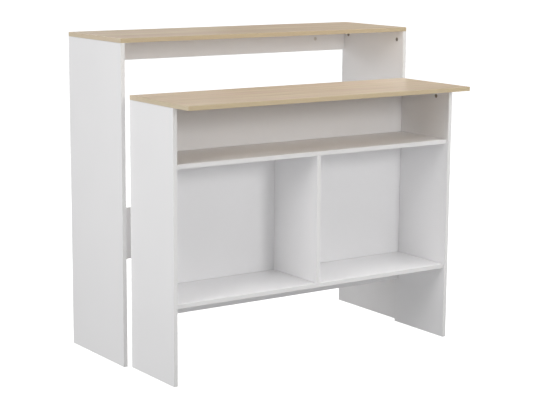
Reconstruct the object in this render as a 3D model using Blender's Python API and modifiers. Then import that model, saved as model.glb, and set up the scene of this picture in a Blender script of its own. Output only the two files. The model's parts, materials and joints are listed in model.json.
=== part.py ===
"""Nesting bar table: a high table, and a low shelf table that slides under it.

Both are knock-down furniture made of coated board, held by cam locks and dowels.
Units are metres, +Z is up and +Y points to the back. The origin is on the floor,
in the middle of the space that the pair takes up with the low table pulled out.
"""

from functools import lru_cache
from math import asin, cos, hypot, radians, sin

import bmesh
import bpy
from mathutils import Matrix, Vector

# Driving dimensions of the high table
HIGH_WIDTH = 1.300
HIGH_DEPTH = 0.400
HIGH_HEIGHT = 1.200
APRON_HEIGHT = 0.098
CROSSBAR_HEIGHT = 0.202
CROSSBAR_BOTTOM = 0.308

# Driving dimensions of the low table
LOW_SIDE_DEPTH = 0.300
LOW_TOP_OVERHANG = 0.100
UPPER_BAY_HEIGHT = 0.197
BOTTOM_SHELF_HEIGHT = 0.294
SHELF_SETBACK = 0.008
REAR_RAIL_HEIGHT = 0.098

# How the low table nests in the high one
NEST_CLEARANCE = 0.009
NEST_HEADROOM = 0.086
PULL_OUT_GAP = 0.015

# Board thicknesses, the rounding of the edge bands and the gap at a butt joint
TOP_THICKNESS = 0.016
SIDE_THICKNESS = 0.016
SHELF_THICKNESS = 0.016
DIVIDER_THICKNESS = 0.016
BACK_THICKNESS = 0.016
RAIL_THICKNESS = 0.016
EDGE_ROUNDING = 0.0008
GAP = 0.0003

# Places of the fixings on the boards
HIGH_CAM_INSET = 0.040
LOW_CAM_INSET = 0.077
APRON_CAM_INSET = 0.154
APRON_CAM_SETBACK = 0.048
CROSSBAR_FIXING_INSET = 0.050
SHELF_FIXING_INSET = 0.060

# Cam locks: the board left under one, the cross recess for the driver, and how far one turns to lock
CAM_DIAMETER = 0.015
CAM_SETBACK = 0.034
CAM_FLOOR = 0.003
CAM_RECESS_WIDTH = 0.0018
CAM_RECESS_LENGTH = 0.009
CAM_RECESS_DEPTH = 0.0022
CAM_TURN = radians(165)

# Cam bolts
BOLT_THREAD_DIAMETER = 0.005
BOLT_SHANK_DIAMETER = 0.006
BOLT_NECK_DIAMETER = 0.004
BOLT_NECK_CLEARANCE = 0.0005
BOLT_HEAD_DIAMETER = 0.007
BOLT_HEAD_LENGTH = 0.003
BOLT_BORE_DIAMETER = 0.008

# Dowels, the board left beyond a blind hole, and the clearance of a fixing in its hole
DOWEL_DIAMETER = 0.006
DOWEL_CHAMFER = 0.0008
DOWEL_IN_END = 0.018
HOLE_FLOOR = 0.004
FIT = 0.0003

# How far a cutter stands out of the board that it cuts
OVERCUT = 0.005

# Facets of the round pieces and the rounded edges, and the angle above which an edge is shaded sharp
CAM_SIDES = 16
SLOT_SIDES = 8
BOLT_SIDES = 8
DOWEL_SIDES = 8
ROUNDING_SEGMENTS = 2
SHARP_ANGLE = radians(35)
MERGE_DISTANCE = 0.00001

# Sizes that follow from those above
HIGH_INNER = HIGH_WIDTH / 2 - SIDE_THICKNESS
HIGH_TOP_UNDERSIDE = HIGH_HEIGHT - TOP_THICKNESS
APRON_BOTTOM = HIGH_TOP_UNDERSIDE - APRON_HEIGHT
LOW_HALF_WIDTH = HIGH_INNER - NEST_CLEARANCE
LOW_INNER = LOW_HALF_WIDTH - SIDE_THICKNESS
LOW_HEIGHT = APRON_BOTTOM - NEST_HEADROOM
LOW_TOP_UNDERSIDE = LOW_HEIGHT - TOP_THICKNESS
LOW_TOP_DEPTH = LOW_SIDE_DEPTH + LOW_TOP_OVERHANG
SHELF_DEPTH = LOW_SIDE_DEPTH - SHELF_SETBACK
MID_SHELF_HEIGHT = LOW_TOP_UNDERSIDE - UPPER_BAY_HEIGHT
FOOTPRINT_DEPTH = HIGH_DEPTH + PULL_OUT_GAP + LOW_TOP_DEPTH
HIGH_FRONT_Y = FOOTPRINT_DEPTH / 2 - HIGH_DEPTH
LOW_REAR_Y = HIGH_FRONT_Y - PULL_OUT_GAP

# Directions, and the two ends of the tables
X = Vector((1, 0, 0))
Y = Vector((0, 1, 0))
Z = Vector((0, 0, 1))
ENDS = (("left", -1), ("right", 1))

# Finishes: colour, roughness and metallic value
FINISHES = {
    "oak_board": ((0.58, 0.46, 0.32), 0.50, 0.0),
    "white_board": ((0.86, 0.86, 0.86), 0.45, 0.0),
    "cam_zinc": ((0.20, 0.18, 0.16), 0.45, 0.9),
    "bolt_steel": ((0.62, 0.61, 0.58), 0.35, 1.0),
    "dowel_beech": ((0.68, 0.52, 0.34), 0.70, 0.0),
}


# Scene, materials and plain shapes

def clear_scene():
    for item in list(bpy.data.objects):
        bpy.data.objects.remove(item, do_unlink=True)


def collection(name):
    found = bpy.data.collections.get(name)
    if found is None:
        found = bpy.data.collections.new(name)
        bpy.context.scene.collection.children.link(found)
    return found


@lru_cache(maxsize=None)
def material(finish):
    colour, roughness, metallic = FINISHES[finish]
    made = bpy.data.materials.new(finish)
    made.use_nodes = True
    shader = made.node_tree.nodes["Principled BSDF"]
    shader.inputs["Base Color"].default_value = (*colour, 1.0)
    shader.inputs["Roughness"].default_value = roughness
    shader.inputs["Metallic"].default_value = metallic
    return made


def box_mesh(name, size):
    mesh = bpy.data.meshes.new(name)
    shape = bmesh.new()
    bmesh.ops.create_cube(shape, size=1.0, matrix=Matrix.Diagonal((*size, 1.0)))
    shape.to_mesh(mesh)
    shape.free()
    return mesh


def cylinder_mesh(name, diameter, length, sides):
    mesh = bpy.data.meshes.new(name)
    shape = bmesh.new()
    radius = diameter / 2
    bmesh.ops.create_cone(
        shape, cap_ends=True, segments=sides, radius1=radius, radius2=radius, depth=length
    )
    shape.to_mesh(mesh)
    shape.free()
    return mesh


def slice_mesh(name, radius, height, start, end, sides):
    """A flat slice of a round disc, between two angles from +X."""
    outline = bpy.data.curves.new(name, "CURVE")
    outline.dimensions = "2D"
    outline.fill_mode = "BOTH"
    outline.extrude = height / 2
    rim = [start + (end - start) * i / sides for i in range(sides + 1)]
    corners = [(0, 0), *((radius * cos(angle), radius * sin(angle)) for angle in rim)]
    spline = outline.splines.new("POLY")
    spline.use_cyclic_u = True
    spline.points.add(len(corners) - 1)
    for point, (x, y) in zip(spline.points, corners):
        point.co = (x, y, 0, 1)
    item = bpy.data.objects.new(name, outline)
    CUTTERS.objects.link(item)
    mesh = finished_mesh(item, name)
    bpy.data.objects.remove(item, do_unlink=True)
    shape = bmesh.new()
    shape.from_mesh(mesh)
    bmesh.ops.remove_doubles(shape, verts=shape.verts, dist=MERGE_DISTANCE)
    shape.to_mesh(mesh)
    shape.free()
    return mesh


def placed(name, mesh, group, table, place, turn):
    """An object in its table's own frame."""
    item = bpy.data.objects.new(name, mesh)
    group.objects.link(item)
    item.parent = table
    item.location = place
    if turn is not None:
        item.rotation_mode = "QUATERNION"
        item.rotation_quaternion = turn
    return item


def part(name, mesh, finish, table, place, turn=None):
    """A sub-part with its finish."""
    if not mesh.materials:
        mesh.materials.append(material(finish))
    return placed(name, mesh, PARTS, table, place, turn)


def cutter(mesh, table, place, turn=None):
    """A shape that is only used to cut others."""
    item = placed(mesh.name, mesh, CUTTERS, table, place, turn)
    item.hide_render = True
    item.display_type = "WIRE"
    return item


def cut(item, tool):
    change = item.modifiers.new(tool.name, "BOOLEAN")
    change.operation = "DIFFERENCE"
    change.solver = "EXACT"
    change.object = tool


def finished_mesh(item, name):
    """The item's mesh with its modifiers applied, shaded smooth between sharp edges."""
    bpy.context.view_layer.update()
    evaluated = item.evaluated_get(bpy.context.evaluated_depsgraph_get())
    mesh = bpy.data.meshes.new_from_object(evaluated)
    mesh.name = name
    mesh.shade_smooth()
    mesh.set_sharp_from_angle(angle=SHARP_ANGLE)
    return mesh


def turned_mesh(name, profile, sides):
    """A solid of revolution from (radius, height) points that run from the top down."""
    line = bpy.data.meshes.new(name)
    points = [(radius, 0.0, height) for radius, height in profile]
    line.from_pydata(points, [(i, i + 1) for i in range(len(points) - 1)], [])
    item = bpy.data.objects.new(name, line)
    CUTTERS.objects.link(item)
    screw = item.modifiers.new("turn", "SCREW")
    screw.steps = sides
    screw.render_steps = sides
    screw.use_merge_vertices = True
    screw.merge_threshold = MERGE_DISTANCE
    mesh = finished_mesh(item, name)
    bpy.data.objects.remove(item, do_unlink=True)
    return mesh


# Boards and holes

def board(name, table, finish, x, y, z):
    """A coated board between two corners, with softly rounded edge bands."""
    low = Vector((x[0], y[0], z[0]))
    high = Vector((x[1], y[1], z[1]))
    item = part(name, box_mesh(name, high - low), finish, table, (low + high) / 2)
    rounding = item.modifiers.new("edge_bands", "BEVEL")
    rounding.width = EDGE_ROUNDING
    rounding.segments = ROUNDING_SEGMENTS
    rounding.limit_method = "NONE"
    return item


def drill(item, table, mouth, inward, depth, diameter, sides):
    """A blind round hole, from its mouth on a board's face."""
    length = depth + OVERCUT
    mesh = cylinder_mesh(item.name + "_hole", diameter, length, sides)
    place = mouth + inward * (depth - OVERCUT) / 2
    cut(item, cutter(mesh, table, place, inward.to_track_quat("Z", "Y")))


# Fixings

@lru_cache(maxsize=None)
def cam_mesh(thickness):
    """A locked cam for a board of this thickness: bolt along +X, cross recess on its +Z face.

    The bolt's head sits in the hollow. Round the side, the slot for its neck runs to the mouth,
    where the head goes in before the cam is turned.
    """
    face = thickness / 2 - FIT
    bottom = CAM_FLOOR + FIT - thickness / 2
    body = bpy.data.objects.new("cam", cylinder_mesh("cam", CAM_DIAMETER, face - bottom, CAM_SIDES))
    CUTTERS.objects.link(body)
    body.data.transform(Matrix.Translation((0, 0, (face + bottom) / 2)))

    hollow_diameter = hypot(BOLT_HEAD_DIAMETER, BOLT_HEAD_LENGTH) + 2 * FIT
    hollow = cylinder_mesh("cam_hollow", hollow_diameter, BOLT_HEAD_DIAMETER + 2 * FIT, CAM_SIDES)
    slot_width = BOLT_NECK_DIAMETER + 2 * FIT
    slot_end = -asin(slot_width / hollow_diameter)
    slot = slice_mesh("cam_slot", CAM_DIAMETER, slot_width, slot_end, CAM_TURN, SLOT_SIDES)
    mouth = cylinder_mesh("cam_mouth", BOLT_BORE_DIAMETER, CAM_DIAMETER, BOLT_SIDES)
    mouth_way = Matrix.Rotation(CAM_TURN, 3, "Z") @ X
    tools = [
        cutter(hollow, None, (0, 0, 0)),
        cutter(slot, None, (0, 0, 0)),
        cutter(mouth, None, mouth_way * CAM_DIAMETER / 2, mouth_way.to_track_quat("Z", "Y")),
    ]
    for size in ((CAM_RECESS_LENGTH, CAM_RECESS_WIDTH), (CAM_RECESS_WIDTH, CAM_RECESS_LENGTH)):
        recess = box_mesh("cam_recess", (*size, 2 * CAM_RECESS_DEPTH))
        tools.append(cutter(recess, None, (0, 0, face)))
    for tool in tools:
        cut(body, tool)
    mesh = finished_mesh(body, "cam")
    for item in (body, *tools):
        bpy.data.objects.remove(item, do_unlink=True)
    return mesh


@lru_cache(maxsize=None)
def bolt_mesh(setback, thread_length):
    """A cam bolt with its head on the origin and its thread along +Z."""
    head = BOLT_HEAD_LENGTH / 2
    board_face = setback + GAP
    neck = CAM_DIAMETER / 2 + BOLT_NECK_CLEARANCE
    profile = (
        (0.0, board_face + thread_length),
        (BOLT_THREAD_DIAMETER / 2, board_face + thread_length),
        (BOLT_THREAD_DIAMETER / 2, board_face - FIT),
        (BOLT_SHANK_DIAMETER / 2, board_face - FIT),
        (BOLT_SHANK_DIAMETER / 2, neck),
        (BOLT_NECK_DIAMETER / 2, neck),
        (BOLT_NECK_DIAMETER / 2, head),
        (BOLT_HEAD_DIAMETER / 2, head),
        (BOLT_HEAD_DIAMETER / 2, -head),
        (0.0, -head),
    )
    return turned_mesh("cam_bolt", profile, BOLT_SIDES)


@lru_cache(maxsize=None)
def dowel_mesh(length):
    """A wooden dowel with chamfered ends, from the origin along +Z."""
    radius = DOWEL_DIAMETER / 2
    profile = (
        (0.0, length),
        (radius - DOWEL_CHAMFER, length),
        (radius, length - DOWEL_CHAMFER),
        (radius, DOWEL_CHAMFER),
        (radius - DOWEL_CHAMFER, 0.0),
        (0.0, 0.0),
    )
    return turned_mesh("dowel", profile, DOWEL_SIDES)


def cam_joint(name, table, host, mate, end, reach, face, setback, host_thickness, mate_thickness):
    """A cam lock in the host board that draws in a bolt screwed into the mate board.

    The bolt leaves the host's edge at end and runs along reach. The cam shows on the side
    of the host that face points to.
    """
    centre = end - reach * setback
    mouth = centre + face * (host_thickness / 2)
    behind = BOLT_HEAD_LENGTH / 2 + FIT
    thread_hole = mate_thickness - HOLE_FLOOR
    drill(host, table, mouth, -face, host_thickness - CAM_FLOOR, CAM_DIAMETER + 2 * FIT, CAM_SIDES)
    drill(host, table, end, -reach, setback + behind, BOLT_BORE_DIAMETER, BOLT_SIDES)
    drill(mate, table, end + reach * GAP, reach, thread_hole, BOLT_THREAD_DIAMETER + 2 * FIT, BOLT_SIDES)
    turn = Matrix((reach, face.cross(reach), face)).transposed().to_quaternion()
    part(name, cam_mesh(host_thickness), "cam_zinc", table, centre, turn)
    bolt = bolt_mesh(setback, thread_hole - FIT)
    part(name + "_bolt", bolt, "bolt_steel", table, centre, reach.to_track_quat("Z", "Y"))


def dowel_joint(name, table, host, mate, end, reach, mate_thickness):
    """A dowel from the host board's end into the mate board's face."""
    face_hole = mate_thickness - HOLE_FLOOR
    diameter = DOWEL_DIAMETER + 2 * FIT
    drill(host, table, end, -reach, DOWEL_IN_END, diameter, DOWEL_SIDES)
    drill(mate, table, end + reach * GAP, reach, face_hole, diameter, DOWEL_SIDES)
    start = end - reach * (DOWEL_IN_END - FIT)
    length = DOWEL_IN_END + GAP + face_hole - 2 * FIT
    part(name, dowel_mesh(length), "dowel_beech", table, start, reach.to_track_quat("Z", "Y"))


# The two tables

def table_frame(name, y):
    """The empty that carries one table, on the line along which the low table slides."""
    frame = bpy.data.objects.new(name, None)
    PARTS.objects.link(frame)
    frame.location = (0, y, 0)
    return frame


def side_board(name, table, sign, outer, y, top):
    """An upright side that stands on the floor."""
    x = sorted((sign * outer, sign * (outer - SIDE_THICKNESS)))
    return board(name, table, "white_board", x, y, (0, top))


def build_high_table():
    """In this table's frame the front is at y = 0 and the back at y = HIGH_DEPTH."""
    table = table_frame("high_table", HIGH_FRONT_Y)
    depth = (0, HIGH_DEPTH)
    half_width = HIGH_WIDTH / 2
    side_top = HIGH_TOP_UNDERSIDE - GAP
    span = (GAP - HIGH_INNER, HIGH_INNER - GAP)
    rear = (HIGH_DEPTH - RAIL_THICKNESS, HIGH_DEPTH)
    rail_y = HIGH_DEPTH - RAIL_THICKNESS / 2
    crossbar_top = CROSSBAR_BOTTOM + CROSSBAR_HEIGHT

    top = board(
        "high_top", table, "oak_board", (-half_width, half_width), depth, (HIGH_TOP_UNDERSIDE, HIGH_HEIGHT)
    )
    apron = board("high_apron", table, "white_board", span, rear, (APRON_BOTTOM, side_top))
    crossbar = board("high_crossbar", table, "white_board", span, rear, (CROSSBAR_BOTTOM, crossbar_top))

    for end_name, sign in ENDS:
        side = side_board(f"high_{end_name}_side", table, sign, half_width, depth, side_top)
        side_x = sign * (half_width - SIDE_THICKNESS / 2)
        for place_name, y in (("front", HIGH_CAM_INSET), ("rear", HIGH_DEPTH - HIGH_CAM_INSET)):
            cam_joint(
                f"high_{end_name}_{place_name}_cam", table, side, top, Vector((side_x, y, side_top)),
                Z, -sign * X, CAM_SETBACK, SIDE_THICKNESS, TOP_THICKNESS,
            )
        apron_x = sign * (HIGH_INNER - APRON_CAM_INSET)
        cam_joint(
            f"apron_{end_name}_cam", table, apron, top, Vector((apron_x, rail_y, side_top)),
            Z, -Y, APRON_CAM_SETBACK, RAIL_THICKNESS, TOP_THICKNESS,
        )
        rail_end = sign * (HIGH_INNER - GAP)
        cam_joint(
            f"crossbar_{end_name}_cam", table, crossbar, side,
            Vector((rail_end, rail_y, crossbar_top - CROSSBAR_FIXING_INSET)),
            sign * X, Y, CAM_SETBACK, RAIL_THICKNESS, SIDE_THICKNESS,
        )
        dowel_joint(
            f"crossbar_{end_name}_dowel", table, crossbar, side,
            Vector((rail_end, rail_y, CROSSBAR_BOTTOM + CROSSBAR_FIXING_INSET)),
            sign * X, SIDE_THICKNESS,
        )


def build_low_table():
    """In this table's frame the back is at y = 0 and the front has negative y."""
    table = table_frame("low_table", LOW_REAR_Y)
    depth = (-LOW_SIDE_DEPTH, 0)
    side_top = LOW_TOP_UNDERSIDE - GAP
    span = (GAP - LOW_INNER, LOW_INNER - GAP)
    shelf_front = -SHELF_DEPTH
    mid_underside = MID_SHELF_HEIGHT - SHELF_THICKNESS
    bottom_underside = BOTTOM_SHELF_HEIGHT - SHELF_THICKNESS
    lower_bay = (BOTTOM_SHELF_HEIGHT + GAP, mid_underside - GAP)
    upper_bay = (MID_SHELF_HEIGHT + GAP, side_top)
    rail = (bottom_underside - REAR_RAIL_HEIGHT, bottom_underside - GAP)

    top = board(
        "low_top", table, "oak_board", (-LOW_HALF_WIDTH, LOW_HALF_WIDTH), (-LOW_TOP_DEPTH, 0),
        (LOW_TOP_UNDERSIDE, LOW_HEIGHT),
    )
    mid_shelf = board(
        "mid_shelf", table, "white_board", span, (shelf_front, 0), (mid_underside, MID_SHELF_HEIGHT)
    )
    bottom_shelf = board(
        "bottom_shelf", table, "white_board", span, (shelf_front, 0),
        (bottom_underside, BOTTOM_SHELF_HEIGHT),
    )
    divider_back = -BACK_THICKNESS - GAP
    divider = board(
        "divider", table, "white_board", (-DIVIDER_THICKNESS / 2, DIVIDER_THICKNESS / 2),
        (shelf_front, divider_back), lower_bay,
    )
    rear_boards = []
    for name, thickness, z in (
        ("upper_back", BACK_THICKNESS, upper_bay),
        ("lower_back", BACK_THICKNESS, lower_bay),
        ("low_rear_rail", RAIL_THICKNESS, rail),
    ):
        rear_board = board(name, table, "white_board", span, (-thickness, 0), z)
        rear_boards.append((name, rear_board, Vector((0, -thickness / 2, (z[0] + z[1]) / 2))))

    divider_y = (shelf_front + divider_back) / 2
    divider_bottom = Vector((0, divider_y, lower_bay[0]))
    divider_top = Vector((0, divider_y, lower_bay[1]))
    dowel_joint("divider_bottom_dowel", table, divider, bottom_shelf, divider_bottom, -Z, SHELF_THICKNESS)
    dowel_joint("divider_top_dowel", table, divider, mid_shelf, divider_top, Z, SHELF_THICKNESS)

    for end_name, sign in ENDS:
        side = side_board(f"low_{end_name}_side", table, sign, LOW_HALF_WIDTH, depth, side_top)
        side_x = sign * (LOW_HALF_WIDTH - SIDE_THICKNESS / 2)
        board_end = sign * (LOW_INNER - GAP)
        for place_name, y in (("front", LOW_CAM_INSET - LOW_SIDE_DEPTH), ("rear", -LOW_CAM_INSET)):
            cam_joint(
                f"low_{end_name}_{place_name}_cam", table, side, top, Vector((side_x, y, side_top)),
                Z, -sign * X, CAM_SETBACK, SIDE_THICKNESS, TOP_THICKNESS,
            )
        for name, shelf, height in (
            ("mid_shelf", mid_shelf, MID_SHELF_HEIGHT),
            ("bottom_shelf", bottom_shelf, BOTTOM_SHELF_HEIGHT),
        ):
            middle = height - SHELF_THICKNESS / 2
            cam_joint(
                f"{name}_{end_name}_cam", table, shelf, side,
                Vector((board_end, shelf_front + SHELF_FIXING_INSET, middle)),
                sign * X, -Z, CAM_SETBACK, SHELF_THICKNESS, SIDE_THICKNESS,
            )
            dowel_joint(
                f"{name}_{end_name}_dowel", table, shelf, side,
                Vector((board_end, -SHELF_FIXING_INSET, middle)), sign * X, SIDE_THICKNESS,
            )
        for name, rear_board, middle in rear_boards:
            dowel_joint(
                f"{name}_{end_name}_dowel", table, rear_board, side, middle + board_end * X,
                sign * X, SIDE_THICKNESS,
            )


clear_scene()
PARTS = collection("bar_table")
CUTTERS = collection("bar_table_cutters")
build_high_table()
build_low_table()
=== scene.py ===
import json
from math import cos, pi, radians, sin

import bmesh
import bpy
from mathutils import Matrix, Vector


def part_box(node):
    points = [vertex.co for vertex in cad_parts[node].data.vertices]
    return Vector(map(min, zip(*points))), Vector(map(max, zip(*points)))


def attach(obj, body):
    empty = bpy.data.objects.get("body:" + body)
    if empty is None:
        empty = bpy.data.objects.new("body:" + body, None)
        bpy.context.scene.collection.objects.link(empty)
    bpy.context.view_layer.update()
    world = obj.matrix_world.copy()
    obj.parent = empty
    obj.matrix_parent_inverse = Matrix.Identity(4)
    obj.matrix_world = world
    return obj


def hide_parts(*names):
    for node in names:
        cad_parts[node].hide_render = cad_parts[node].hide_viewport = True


# A high and a low bar table that nest: finishes for their boards, detailed fixings and a white studio

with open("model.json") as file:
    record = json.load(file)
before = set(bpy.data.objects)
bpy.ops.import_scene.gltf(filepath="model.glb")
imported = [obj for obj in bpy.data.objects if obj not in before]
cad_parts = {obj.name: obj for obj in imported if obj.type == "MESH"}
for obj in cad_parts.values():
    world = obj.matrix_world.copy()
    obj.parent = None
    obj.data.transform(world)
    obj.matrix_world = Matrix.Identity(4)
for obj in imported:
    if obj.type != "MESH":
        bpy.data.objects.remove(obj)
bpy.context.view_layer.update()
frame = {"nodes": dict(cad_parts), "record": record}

# Camera, fitted to the edges of the boards
CAMERA_PLACE = Vector((-3.2718, -4.7345, 1.5903))
CAMERA_YAW = radians(34.498)
CAMERA_TILT = radians(10.322)
CAMERA_ROLL = radians(0.409)
CAMERA_LENS = 102.352
SENSOR_WIDTH = 36.0

# Soft boxes on a ring round the table: degrees to the right of straight in front, degrees up, watts
RING_CENTRE = Vector((0.0, 0.0, 0.7))
RING_RADIUS = 4.5
RING_BOX_SIZE = 1.6
RING_BOXES = {
    "left_low_box": (-110, 3, 38.5),
    "left_box": (-72, 20, 62.1),
    "front_low_box": (-25, 9, 20.2),
    "right_front_box": (30, 24, 6.5),
    "right_high_box": (30, 50, 21.3),
    "right_low_box": (60, 16, 13.7),
    "right_top_box": (60, 50, 40.0),
    "right_box": (90, 30, 80.0),
    "rear_box": (180, 20, 63.9),
    "rear_low_box": (160, 4, 6.3),
}

# Soft boxes close in front, which the boards don't mirror: centre, aim, width, height, watts
FRONT_BOXES = {
    "key_box": (Vector((0.6, -3.7, 1.8)), Vector((0.2, 0.0, 0.5)), 0.6, 0.8, 33.0),
    "floor_card": (Vector((0.0, -1.4, 0.01)), Vector((0.0, -1.4, 1.0)), 2.6, 1.6, 2.95),
}

# Light from straight below and from straight above
FLOOR_LIGHT = 0.860
SKY_LIGHT = 0.464
LIGHT_WHITE = (1.0, 1.0, 1.0, 1.0)

# Stage
FLOOR_SIZE = 120.0
FLOOR_DROP = 0.0006
BACKDROP_RADIUS = 58.0
BACKDROP_SEGMENTS = 32
BACKDROP_RINGS = 16
STAGE_GREY = (0.5, 0.5, 0.5, 1.0)
STAGE_GLOW = 1.0

# Colours, as linear values
OAK_PALE = (0.852, 0.720, 0.544)
OAK_DEEP = (0.536, 0.419, 0.280)
OAK_ROSY = (0.700, 0.528, 0.424)
OAK_PORE = (0.430, 0.320, 0.210)
OAK_BAND = (0.535, 0.437, 0.277)
OAK_END = (0.635, 0.572, 0.413)
WHITE_FACE = (0.896, 0.891, 0.897)
WHITE_BAND = (0.812, 0.806, 0.800)
WHITE_SEAM = (0.620, 0.615, 0.605)
CAM_ZINC = (0.305, 0.270, 0.232)
CAM_WORN = (0.430, 0.395, 0.355)
# A lighter copy of the cam zinc, painted light, for the cams on the apron
CAM_PAINTED_LIT = (0.695, 0.667, 0.632)
CAM_PAINTED_LIT_WORN = (0.800, 0.780, 0.750)
BOLT_STEEL = (0.620, 0.610, 0.580)
BOLT_SHADE = (0.500, 0.480, 0.430)
DOWEL_PALE = (0.700, 0.540, 0.360)
DOWEL_DEEP = (0.560, 0.400, 0.240)

# In the finishes below, a noise is its repeats per metre along three axes, and its detail.
# A tone or a roughness is the range of a noise that counts, and the two values it leads to.
# A bump is its strength and its depth, and a share is how far one colour covers another.

# Oak: the axes are along the grain, across it and from board to board
OAK_SWAY = 0.012
OAK_SEED = 7.0
OAK_SWAY_NOISE = ((1.1, 5.0, 1.0), 1.0)
OAK_BROAD_NOISE = ((0.8, 17.0, 1.0), 2.0)
OAK_STREAK_NOISE = ((2.5, 55.0, 1.0), 3.0)
OAK_LINE_NOISE = ((8.0, 430.0, 1.0), 2.0)
OAK_PORE_NOISE = ((40.0, 1500.0, 1.0), 1.0)
OAK_BLUSH_NOISE = ((2.0, 34.0, 1.0), 2.0)
OAK_BROAD_TONE = (0.32, 0.68, 0.0, 0.30)
OAK_STREAK_TONE = (0.34, 0.66, 0.0, 0.46)
OAK_LINE_TONE = (0.35, 0.65, 0.0, 0.24)
OAK_BLUSH_TONE = (0.46, 0.64, 0.0, 0.7)
OAK_PORE_TONE = (0.60, 0.72, 0.0, 1.0)
OAK_BAND_SHARE = 0.85
OAK_END_SHARE = 0.5
OAK_PORE_SHARE = 0.35
OAK_ROUGHNESS = (0.3, 0.7, 0.33, 0.42)
OAK_LINE_HEIGHT = 0.4
OAK_BUMP = (0.12, 0.0001)

# White board, with a seam where the face coating meets the edge bands, set in from the board's edge
SEAM_INSET = 0.0010
SEAM_WIDTH = 0.00015
SEAM_SHARE = 0.7
WHITE_CLOUD_NOISE = ((7.0, 7.0, 7.0), 2.0)
WHITE_PEARL_NOISE = ((620.0, 620.0, 620.0), 2.0)
WHITE_CLOUD_DIM = 0.985
WHITE_ROUGHNESS = (0.3, 0.7, 0.36, 0.42)
WHITE_FACE_ROUGHER = 0.06
WHITE_BUMP = (0.06, 0.0002)

# Cast zinc
CAST_MOTTLE_NOISE = ((420.0, 420.0, 420.0), 3.0)
CAST_GRIT_NOISE = ((2600.0, 2600.0, 2600.0), 2.0)
CAST_WEAR_TONE = (0.42, 0.66, 0.0, 1.0)
CAST_METALLIC = 0.85
CAST_ROUGHNESS = (0.3, 0.7, 0.58, 0.42)
CAST_BUMP = (0.15, 0.0001)

# Plated steel
STEEL_RING_NOISE = ((40.0, 40.0, 5200.0), 1.0)
STEEL_TARNISH_NOISE = ((260.0, 260.0, 260.0), 2.0)
STEEL_TARNISH_TONE = (0.45, 0.7, 0.0, 1.0)
STEEL_METALLIC = 1.0
STEEL_ROUGHNESS = (0.3, 0.7, 0.26, 0.4)

# Beech
BEECH_GRAIN_NOISE = ((900.0, 900.0, 30.0), 3.0)
BEECH_FLECK_NOISE = ((2200.0, 2200.0, 260.0), 1.0)
BEECH_GRAIN_TONE = (0.35, 0.65, 0.0, 1.0)
BEECH_FLECK_TONE = (0.62, 0.72, 0.0, 0.4)
BEECH_ROUGHNESS = (0.3, 0.7, 0.62, 0.74)
BEECH_BUMP = (0.2, 0.0002)

# A surface faces an axis where its normal has more than this along it
FACING = 0.5

# Where a Mix node keeps its colour sockets
MIX_COLOURS_IN = (6, 7)
MIX_COLOUR_OUT = 2

# Fixings
SMOOTH_ANGLE = radians(35)
CAM_SIDES = 48
CAM_CHAMFER = 0.0004
CAM_RIM = 0.0010
CAM_SINK = 0.0003
CAM_RECESS_LENGTH = 0.009
CAM_RECESS_WIDTH = 0.0018
CAM_RECESS_DEPTH = 0.0022
CAM_RECESS_TAPER = 0.6
CAM_ARROW_LENGTH = 0.0016
CAM_HOLLOW_RADIUS = 0.0041
CAM_HOLLOW_HEIGHT = 0.0076
CAM_SLOT_HEIGHT = 0.0046
CAM_SLOT_START = radians(-34)
CAM_SLOT_END = radians(165)
CAM_MOUTH_RADIUS = 0.004
CAM_WELD = 0.000002
BOLT_SIDES = 24
BOLT_HEAD_LENGTH = 0.003
BOLT_HEAD_RADIUS = 0.0035
BOLT_HEAD_CHAMFER = 0.0004
BOLT_NECK_END = 0.008
BOLT_NECK_RADIUS = 0.002
BOLT_SHANK_RADIUS = 0.003
BOLT_COLLAR_RADIUS = 0.0036
BOLT_COLLAR_LENGTH = 0.001
BOLT_THREAD_RADIUS = 0.0025
BOLT_THREAD_LENGTH = 0.012
BOLT_THREAD_PITCH = 0.0024
BOLT_THREAD_DEPTH = 0.0006
BOLT_THREAD_SLOPE = 2.6
BOLT_RINGS_PER_PITCH = 8
BOLT_RECESS_RADIUS = 0.0016
BOLT_RECESS_DEPTH = 0.0009
BOLT_POINT_RADIUS = 0.0004
DOWEL_SIDES = 80
DOWEL_FLUTES = 20
DOWEL_FLUTE_DEPTH = 0.00018
DOWEL_CHAMFER = 0.0008


# Finishes

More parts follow.
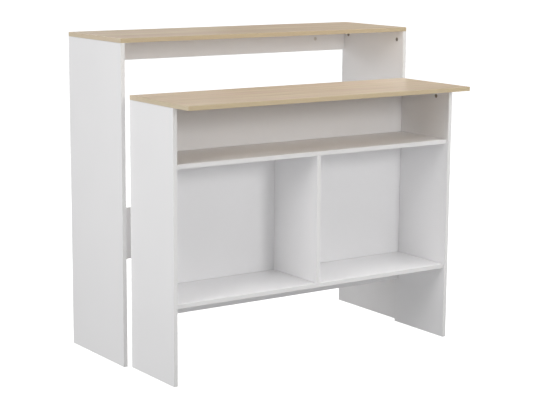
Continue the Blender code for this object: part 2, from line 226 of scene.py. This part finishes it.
class Graph:
    """A material's node tree, with short ways to add and link nodes."""

    def __init__(self, name):
        self.material = bpy.data.materials.new(name)
        self.material.use_nodes = True
        self.tree = self.material.node_tree
        self.shader = self.tree.nodes["Principled BSDF"]
        self.coordinates = self.add("TexCoord").outputs

    def add(self, kind, settings=None, **inputs):
        made = self.tree.nodes.new("ShaderNode" + kind)
        for name, value in (settings or {}).items():
            setattr(made, name, value)
        for name, value in inputs.items():
            self.put(made.inputs[name], value)
        return made

    def put(self, socket, value):
        """Links an output to a socket, or sets the socket to a plain value."""
        if isinstance(value, bpy.types.NodeSocket):
            self.tree.links.new(value, socket)
        else:
            socket.default_value = value

    def finish(self, name, value):
        self.put(self.shader.inputs[name], value)

    def math(self, operation, *values):
        made = self.add("Math", {"operation": operation})
        for socket, value in zip(made.inputs, values):
            self.put(socket, value)
        return made.outputs[0]

    def split(self, vector):
        return self.add("SeparateXYZ", Vector=vector).outputs

    def join(self, x, y, z):
        return self.add("CombineXYZ", X=x, Y=y, Z=z).outputs[0]

    def facing(self, part):
        """One where the normal's part along an axis is large, either way, and zero elsewhere."""
        return self.math("GREATER_THAN", self.math("ABSOLUTE", part), FACING)

    def noise(self, vector, scale, detail):
        stretched = self.add("VectorMath", {"operation": "MULTIPLY"})
        self.put(stretched.inputs[0], vector)
        stretched.inputs[1].default_value = scale
        made = self.add("TexNoise", Scale=1.0, Detail=detail, Vector=stretched.outputs[0])
        return made.outputs["Fac"]

    def ramp(self, value, low, high, start, end):
        """A value's range from low to high, turned into the range from start to end."""
        made = self.add("MapRange", {"clamp": True})
        self.put(made.inputs["Value"], value)
        for name, number in (("From Min", low), ("From Max", high), ("To Min", start), ("To Max", end)):
            made.inputs[name].default_value = number
        return made.outputs["Result"]

    def mix(self, factor, first, second):
        """A blend of two colours, given as sockets or as red, green and blue."""
        made = self.add("Mix", {"data_type": "RGBA"})
        self.put(made.inputs["Factor"], factor)
        for place, colour in zip(MIX_COLOURS_IN, (first, second)):
            self.put(made.inputs[place], (*colour, 1.0) if isinstance(colour, tuple) else colour)
        return made.outputs[MIX_COLOUR_OUT]

    def bump(self, height, strength, distance):
        made = self.add("Bump", Strength=strength, Distance=distance, Height=height)
        self.finish("Normal", made.outputs[0])


def oak_material(node):
    """Oak-effect coating with its grain along the board, and along the band on the edges."""
    g = Graph("oak_" + node)
    x, y, z = g.split(g.coordinates["Object"])
    on_end, on_band, on_face = (g.facing(part) for part in g.split(g.coordinates["Normal"]))
    along = g.math("ADD", x, g.math("MULTIPLY", on_end, g.math("SUBTRACT", y, x)))
    across = g.math("ADD", z, g.math("MULTIPLY", on_face, g.math("SUBTRACT", y, z)))
    board_seed = OAK_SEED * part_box(node)[1].z
    place = g.join(along, across, board_seed)

    sway = g.noise(place, *OAK_SWAY_NOISE)
    bent = g.math("ADD", across, g.ramp(sway, 0.0, 1.0, -OAK_SWAY, OAK_SWAY))
    grain = g.join(along, bent, board_seed)
    broad = g.noise(grain, *OAK_BROAD_NOISE)
    streaks = g.noise(grain, *OAK_STREAK_NOISE)
    lines = g.noise(grain, *OAK_LINE_NOISE)
    pores = g.noise(grain, *OAK_PORE_NOISE)
    blush = g.noise(grain, *OAK_BLUSH_NOISE)

    tone = g.math("ADD", g.ramp(broad, *OAK_BROAD_TONE), g.ramp(streaks, *OAK_STREAK_TONE))
    tone = g.math("ADD", tone, g.ramp(lines, *OAK_LINE_TONE))
    colour = g.mix(tone, OAK_DEEP, OAK_PALE)
    colour = g.mix(g.ramp(blush, *OAK_BLUSH_TONE), colour, OAK_ROSY)
    colour = g.mix(g.math("MULTIPLY", on_band, OAK_BAND_SHARE), colour, OAK_BAND)
    colour = g.mix(g.math("MULTIPLY", on_end, OAK_END_SHARE), colour, OAK_END)
    pore = g.ramp(pores, *OAK_PORE_TONE)
    colour = g.mix(g.math("MULTIPLY", pore, OAK_PORE_SHARE), colour, OAK_PORE)
    g.finish("Base Color", colour)
    g.finish("Roughness", g.ramp(lines, *OAK_ROUGHNESS))
    g.bump(g.math("SUBTRACT", g.math("MULTIPLY", lines, OAK_LINE_HEIGHT), pore), *OAK_BUMP)
    return g.material


def white_material(node):
    """White coated board: softly pearled faces, smoother edge bands and the fine seam between them."""
    g = Graph("white_" + node)
    low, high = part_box(node)
    size = high - low
    thin = min(range(3), key=lambda i: size[i])
    place = g.coordinates["Object"]
    steps = g.split(place)
    on_face = g.facing(g.split(g.coordinates["Normal"])[thin])
    from_edge = []
    for i in (i for i in range(3) if i != thin):
        from_middle = g.math("ABSOLUTE", g.math("SUBTRACT", steps[i], (low[i] + high[i]) / 2))
        from_edge.append(g.math("SUBTRACT", size[i] / 2, from_middle))
    rim = g.math("MINIMUM", *from_edge)
    off_seam = g.math("ABSOLUTE", g.math("SUBTRACT", rim, SEAM_INSET))
    seam = g.math("MULTIPLY", on_face, g.ramp(off_seam, SEAM_WIDTH, 2 * SEAM_WIDTH, 1.0, 0.0))

    cloud = g.noise(place, *WHITE_CLOUD_NOISE)
    pearl = g.noise(place, *WHITE_PEARL_NOISE)
    dim = tuple(WHITE_CLOUD_DIM * value for value in WHITE_FACE)
    face = g.mix(cloud, dim, WHITE_FACE)
    colour = g.mix(on_face, WHITE_BAND, face)
    g.finish("Base Color", g.mix(g.math("MULTIPLY", seam, SEAM_SHARE), colour, WHITE_SEAM))
    rougher = g.math("MULTIPLY", on_face, WHITE_FACE_ROUGHER)
    g.finish("Roughness", g.math("ADD", g.ramp(cloud, *WHITE_ROUGHNESS), rougher))
    g.bump(g.math("MULTIPLY", pearl, on_face), *WHITE_BUMP)
    return g.material


def cast_material(name, plain, worn):
    """Die-cast zinc, mottled and a little brighter where it is worn."""
    g = Graph(name)
    place = g.coordinates["Object"]
    mottle = g.noise(place, *CAST_MOTTLE_NOISE)
    grit = g.noise(place, *CAST_GRIT_NOISE)
    g.finish("Base Color", g.mix(g.ramp(mottle, *CAST_WEAR_TONE), plain, worn))
    g.finish("Metallic", CAST_METALLIC)
    g.finish("Roughness", g.ramp(mottle, *CAST_ROUGHNESS))
    g.bump(grit, *CAST_BUMP)
    return g.material


def steel_material():
    """Bright plated steel with fine turning marks round the bolt."""
    g = Graph("bolt_steel")
    place = g.coordinates["Object"]
    rings = g.noise(place, *STEEL_RING_NOISE)
    tarnish = g.noise(place, *STEEL_TARNISH_NOISE)
    g.finish("Base Color", g.mix(g.ramp(tarnish, *STEEL_TARNISH_TONE), BOLT_STEEL, BOLT_SHADE))
    g.finish("Metallic", STEEL_METALLIC)
    g.finish("Roughness", g.ramp(rings, *STEEL_ROUGHNESS))
    return g.material


def beech_material():
    """Beech with its grain and short flecks along the dowel."""
    g = Graph("dowel_beech")
    place = g.coordinates["Object"]
    grain = g.noise(place, *BEECH_GRAIN_NOISE)
    flecks = g.noise(place, *BEECH_FLECK_NOISE)
    colour = g.mix(g.ramp(grain, *BEECH_GRAIN_TONE), DOWEL_DEEP, DOWEL_PALE)
    g.finish("Base Color", g.mix(g.ramp(flecks, *BEECH_FLECK_TONE), colour, DOWEL_DEEP))
    g.finish("Roughness", g.ramp(grain, *BEECH_ROUGHNESS))
    g.bump(grain, *BEECH_BUMP)
    return g.material


# Shapes of the fixings

def to_mesh(name, shape):
    mesh = bpy.data.meshes.new(name)
    bmesh.ops.recalc_face_normals(shape, faces=shape.faces)
    shape.to_mesh(mesh)
    shape.free()
    return mesh


def spun_mesh(name, profile, sides, relief=None):
    """A closed body round Z from (radius, height) points, with an optional relief on its side."""
    shape = bmesh.new()
    rings = []
    for radius, height in profile:
        ring = []
        for k in range(sides):
            angle = 2 * pi * k / sides
            reach = radius + (relief(radius, height, angle) if relief else 0.0)
            ring.append(shape.verts.new((reach * cos(angle), reach * sin(angle), height)))
        rings.append(ring)
    for lower, upper in zip(rings, rings[1:]):
        for k in range(sides):
            following = (k + 1) % sides
            shape.faces.new((lower[k], lower[following], upper[following], upper[k]))
    shape.faces.new(rings[0][::-1])
    shape.faces.new(rings[-1])
    return to_mesh(name, shape)


def slab_mesh(name, outline, low, high):
    """A flat piece between two heights, from an outline of (x, y) points."""
    shape = bmesh.new()
    base = shape.faces.new([shape.verts.new((x, y, low)) for x, y in outline])
    raised = bmesh.ops.extrude_face_region(shape, geom=[base], use_keep_orig=True)["geom"]
    moved = [item for item in raised if isinstance(item, bmesh.types.BMVert)]
    bmesh.ops.translate(shape, verts=moved, vec=(0, 0, high - low))
    return to_mesh(name, shape)


def recess_mesh(top, turn):
    """One bar of the cross recess, narrower at its floor, turned round Z."""
    shape = bmesh.new()
    bmesh.ops.create_cube(shape, size=1.0)
    for corner in shape.verts:
        narrow = CAM_RECESS_TAPER if corner.co.z < 0 else 1.0
        corner.co.x *= CAM_RECESS_LENGTH * (narrow + 1) / 2
        corner.co.y *= CAM_RECESS_WIDTH * narrow
        corner.co.z = top + 2 * CAM_RECESS_DEPTH * corner.co.z
    mesh = to_mesh("cam_recess", shape)
    mesh.transform(Matrix.Rotation(turn, 4, "Z"))
    return mesh


def carved_mesh(name, body, cutters):
    """The body with the cutters' shapes taken out of it."""
    collection = bpy.context.scene.collection
    item = bpy.data.objects.new(name, body)
    collection.objects.link(item)
    tools = []
    for mesh in cutters:
        tool = bpy.data.objects.new("cutter", mesh)
        collection.objects.link(tool)
        change = item.modifiers.new("cut", "BOOLEAN")
        change.solver = "EXACT"
        change.object = tool
        tools.append(tool)
    bpy.context.view_layer.update()
    graph = bpy.context.evaluated_depsgraph_get()
    shape = bmesh.new()
    shape.from_mesh(item.evaluated_get(graph).data)
    bmesh.ops.remove_doubles(shape, verts=shape.verts, dist=CAM_WELD)
    for used in (item, *tools):
        bpy.data.objects.remove(used, do_unlink=True)
    return to_mesh(name, shape)


def cam_mesh(radius, bottom, face):
    """A locked cam lock: bolt along +X, cross recess and rim on its +Z face."""
    rim = radius - CAM_CHAMFER
    floor = face - CAM_SINK
    body = spun_mesh("cam", (
        (rim, bottom), (radius, bottom + CAM_CHAMFER), (radius, face - CAM_CHAMFER), (rim, face),
        (rim - CAM_RIM, face), (rim - CAM_RIM - CAM_SINK, floor),
    ), CAM_SIDES)
    hollow = CAM_HOLLOW_HEIGHT / 2
    sweep = CAM_SLOT_END - CAM_SLOT_START
    arc = [CAM_SLOT_START + sweep * k / CAM_SIDES for k in range(CAM_SIDES + 1)]
    slot = [(0.0, 0.0)] + [(2 * radius * cos(a), 2 * radius * sin(a)) for a in arc]
    mouth = spun_mesh("cam_mouth", ((CAM_MOUTH_RADIUS, 0.0), (CAM_MOUTH_RADIUS, 2 * radius)), CAM_SIDES)
    mouth.transform(Matrix.Rotation(CAM_SLOT_END, 4, "Z") @ Matrix.Rotation(pi / 2, 4, "Y"))
    arrow_base = rim - CAM_ARROW_LENGTH
    arrow_half = CAM_ARROW_LENGTH / 2
    arrow = [(rim, 0.0), (arrow_base, arrow_half), (arrow_base, -arrow_half)]
    return carved_mesh("cam", body, [
        spun_mesh("cam_hollow", ((CAM_HOLLOW_RADIUS, -hollow), (CAM_HOLLOW_RADIUS, hollow)), CAM_SIDES),
        slab_mesh("cam_slot", slot, -CAM_SLOT_HEIGHT / 2, CAM_SLOT_HEIGHT / 2),
        mouth,
        recess_mesh(floor, 0.0),
        slab_mesh("cam_arrow", arrow, floor, face + CAM_SINK),
        recess_mesh(floor, pi / 2),
    ])


def bolt_mesh(length):
    """A cam bolt with its head on the origin and its thread along +Z."""
    head = BOLT_HEAD_LENGTH / 2
    head_rim = BOLT_HEAD_RADIUS - BOLT_HEAD_CHAMFER
    tip = length - head
    thread_start = tip - BOLT_THREAD_LENGTH
    collar_start = thread_start - BOLT_COLLAR_LENGTH
    profile = [
        (BOLT_POINT_RADIUS, BOLT_RECESS_DEPTH - head), (BOLT_RECESS_RADIUS, -head),
        (head_rim, -head), (BOLT_HEAD_RADIUS, BOLT_HEAD_CHAMFER - head),
        (BOLT_HEAD_RADIUS, head - BOLT_HEAD_CHAMFER), (head_rim, head),
        (BOLT_NECK_RADIUS, head), (BOLT_NECK_RADIUS, BOLT_NECK_END),
        (BOLT_SHANK_RADIUS, BOLT_NECK_END), (BOLT_SHANK_RADIUS, collar_start),
        (BOLT_COLLAR_RADIUS, collar_start), (BOLT_COLLAR_RADIUS, thread_start),
    ]
    rings = round(BOLT_RINGS_PER_PITCH * BOLT_THREAD_LENGTH / BOLT_THREAD_PITCH)
    for k in range(rings + 1):
        profile.append((BOLT_THREAD_RADIUS, thread_start + BOLT_THREAD_LENGTH * k / rings))
    profile.append((BOLT_POINT_RADIUS, tip))

    def thread(radius, height, angle):
        if radius != BOLT_THREAD_RADIUS:
            return 0.0
        turn = (height / BOLT_THREAD_PITCH - angle / (2 * pi)) % 1.0
        return -BOLT_THREAD_DEPTH * min(1.0, BOLT_THREAD_SLOPE * abs(turn - 0.5))

    return spun_mesh("cam_bolt", profile, BOLT_SIDES, thread)


def dowel_mesh(radius, length):
    """A fluted dowel with chamfered ends, centred on the origin along Z."""
    half = length / 2
    profile = (
        (radius - DOWEL_CHAMFER, -half), (radius, DOWEL_CHAMFER - half),
        (radius, half - DOWEL_CHAMFER), (radius - DOWEL_CHAMFER, half),
    )

    def flutes(base, height, angle):
        return -DOWEL_FLUTE_DEPTH * (1 - cos(DOWEL_FLUTES * angle)) / 2

    return spun_mesh("dowel", profile, DOWEL_SIDES, flutes)


# Placing the pieces

BODY_OF = {node: body for body, nodes in frame["record"]["behaviour"]["bodies"].items() for node in nodes}
BOARD_MATERIALS = {"oak_board": oak_material, "white_board": white_material}
FIXING_MATERIALS = {
    "cam_zinc": cast_material("cam_zinc", CAM_ZINC, CAM_WORN),
    "bright_zinc": cast_material("bright_zinc", CAM_PAINTED_LIT, CAM_PAINTED_LIT_WORN),
    "bolt_steel": steel_material(),
    "dowel_beech": beech_material(),
}
MESHES = {}


def shared(kind, make, *sizes):
    """One mesh for all the fixings of a kind that have the same sizes, smooth between sharp edges."""
    key = (kind, *(round(size, 6) for size in sizes))
    if key not in MESHES:
        MESHES[key] = make(*sizes)
        MESHES[key].materials.append(FIXING_MATERIALS[kind])
        MESHES[key].shade_smooth()
        MESHES[key].set_sharp_from_angle(angle=SMOOTH_ANGLE)
    return MESHES[key]


def turned_to(place, x, y, z):
    """A place with its own axes along three given directions."""
    return Matrix.Translation(place) @ Matrix((x, y, z)).transposed().to_4x4()


def add_fixing(node, suffix, mesh, place):
    """A detailed fixing in place of its plain solid."""
    item = bpy.data.objects.new(node + suffix, mesh)
    item.matrix_world = place
    bpy.context.scene.collection.objects.link(item)
    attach(item, BODY_OF[node])
    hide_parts(node)


def cam_directions(node):
    """Which way a cam's bolt runs, and which way its recess faces."""
    outward = Vector((-1 if "_left_" in node else 1, 0, 0))
    if node.startswith("apron"):
        return Vector((0, 0, 1)), Vector((0, -1, 0))
    if node.startswith("crossbar"):
        return outward, Vector((0, 1, 0))
    if "shelf" in node:
        return outward, Vector((0, 0, -1))
    return Vector((0, 0, 1)), -outward


def add_cam_and_bolt(node):
    """A cam lock and its bolt. The bolt's axis sets where the cam's hollow is."""
    reach, face = cam_directions(node)
    low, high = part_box(node)
    bolt_low, bolt_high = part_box(node + "_bolt")
    sideways = face.cross(reach)
    middle = (low + high) / 2
    on_bolt = (bolt_low + bolt_high) / 2
    axis_offset = (on_bolt - middle).dot(face)
    centre = middle + face * axis_offset
    half = abs((high - low).dot(face)) / 2
    radius = abs((high - low).dot(sideways)) / 2
    # The cams on the apron get a lighter copy of the same cast zinc, which is painted light
    finish = "bright_zinc" if node.startswith("apron") else "cam_zinc"
    cam = shared(finish, cam_mesh, radius, -half - axis_offset, half - axis_offset)
    add_fixing(node, "_cast", cam, turned_to(centre, reach, sideways, face))
    length = abs((bolt_high - bolt_low).dot(reach))
    bolt = shared("bolt_steel", bolt_mesh, length)
    add_fixing(node + "_bolt", "_threaded", bolt, turned_to(centre, sideways, face, reach))


def add_dowel(node):
    """A fluted dowel along the longest side of its solid."""
    low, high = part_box(node)
    size = high - low
    longest = max(range(3), key=lambda i: size[i])
    axes = [Vector((i == 0, i == 1, i == 2)) for i in range(3)]
    x, y, z = (axes[(longest + step) % 3] for step in (1, 2, 3))
    mesh = shared("dowel_beech", dowel_mesh, min(size) / 2, size[longest])
    add_fixing(node, "_fluted", mesh, turned_to((low + high) / 2, x, y, z))


# Each board keeps its solid, and each bolt comes with its cam lock
for entry in frame["record"]["subparts"]:
    name = entry["node"]
    finish = entry["material_slot"]
    if finish in BOARD_MATERIALS:
        materials = frame["nodes"][name].data.materials
        materials.clear()
        materials.append(BOARD_MATERIALS[finish](name))
    elif finish == "cam_zinc":
        add_cam_and_bolt(name)
    elif finish == "dowel_beech":
        add_dowel(name)


# Studio

def add_camera():
    data = bpy.data.cameras.new("camera")
    data.lens = CAMERA_LENS
    data.sensor_width = SENSOR_WIDTH
    data.sensor_fit = "HORIZONTAL"
    camera = bpy.data.objects.new("camera", data)
    camera.matrix_world = (
        Matrix.Translation(CAMERA_PLACE)
        @ Matrix.Rotation(-CAMERA_YAW, 4, "Z")
        @ Matrix.Rotation(pi / 2 - CAMERA_TILT, 4, "X")
        @ Matrix.Rotation(CAMERA_ROLL, 4, "Z")
    )
    bpy.context.scene.collection.objects.link(camera)
    bpy.context.scene.camera = camera


def add_soft_box(name, place, aim, width, height, power):
    data = bpy.data.lights.new(name, "AREA")
    data.shape = "RECTANGLE"
    data.size = width
    data.size_y = height
    data.energy = power
    light = bpy.data.objects.new(name, data)
    light.location = place
    light.rotation_mode = "QUATERNION"
    light.rotation_quaternion = (aim - place).to_track_quat("-Z", "Y")
    light.visible_camera = False
    bpy.context.scene.collection.objects.link(light)
    return light


def add_lights():
    for name, (turn, rise, power) in RING_BOXES.items():
        turn = radians(turn)
        rise = radians(rise)
        way = Vector((sin(turn) * cos(rise), -cos(turn) * cos(rise), sin(rise)))
        place = RING_CENTRE + RING_RADIUS * way
        add_soft_box(name, place, RING_CENTRE, RING_BOX_SIZE, RING_BOX_SIZE, power)
    for name, (place, aim, width, height, power) in FRONT_BOXES.items():
        add_soft_box(name, place, aim, width, height, power).visible_glossy = False


def add_world():
    """Light from below, as from a pale floor, and from above, fading towards the horizon."""
    world = bpy.data.worlds.new("studio")
    bpy.context.scene.world = world
    world.use_nodes = True
    nodes = world.node_tree.nodes
    links = world.node_tree.links
    background = nodes["Background"]
    background.inputs["Color"].default_value = LIGHT_WHITE
    split = nodes.new("ShaderNodeSeparateXYZ")
    links.new(nodes.new("ShaderNodeTexCoord").outputs["Generated"], split.inputs[0])
    total = nodes.new("ShaderNodeMath")
    for socket, end, level in ((total.inputs[0], -1.0, FLOOR_LIGHT), (total.inputs[1], 1.0, SKY_LIGHT)):
        fade = nodes.new("ShaderNodeMapRange")
        fade.inputs["From Min"].default_value = 0.0
        fade.inputs["From Max"].default_value = end
        fade.inputs["To Min"].default_value = 0.0
        fade.inputs["To Max"].default_value = level
        links.new(split.outputs["Z"], fade.inputs["Value"])
        links.new(fade.outputs["Result"], socket)
    links.new(total.outputs[0], background.inputs["Strength"])


def add_stage():
    """A white floor and a white backdrop all round, which only the camera sees."""
    g = Graph("stage")
    g.finish("Base Color", STAGE_GREY)
    g.finish("Emission Color", LIGHT_WHITE)
    g.finish("Emission Strength", STAGE_GLOW)
    g.finish("Specular IOR Level", 0.0)
    shape = bmesh.new()
    bmesh.ops.create_grid(shape, x_segments=1, y_segments=1, size=FLOOR_SIZE / 2)
    bmesh.ops.translate(shape, verts=shape.verts, vec=(0, 0, -FLOOR_DROP))
    floor = bpy.data.objects.new("floor", to_mesh("floor", shape))
    shape = bmesh.new()
    bmesh.ops.create_uvsphere(
        shape, u_segments=BACKDROP_SEGMENTS, v_segments=BACKDROP_RINGS, radius=BACKDROP_RADIUS
    )
    backdrop = bpy.data.objects.new("backdrop", to_mesh("backdrop", shape))
    for item in (floor, backdrop):
        item.data.materials.append(g.material)
        item.visible_diffuse = False
        item.visible_glossy = False
        item.visible_transmission = False
        item.visible_shadow = False
        bpy.context.scene.collection.objects.link(item)


add_camera()
add_lights()
add_world()
add_stage()
bpy.context.scene.view_settings.view_transform = "Standard"
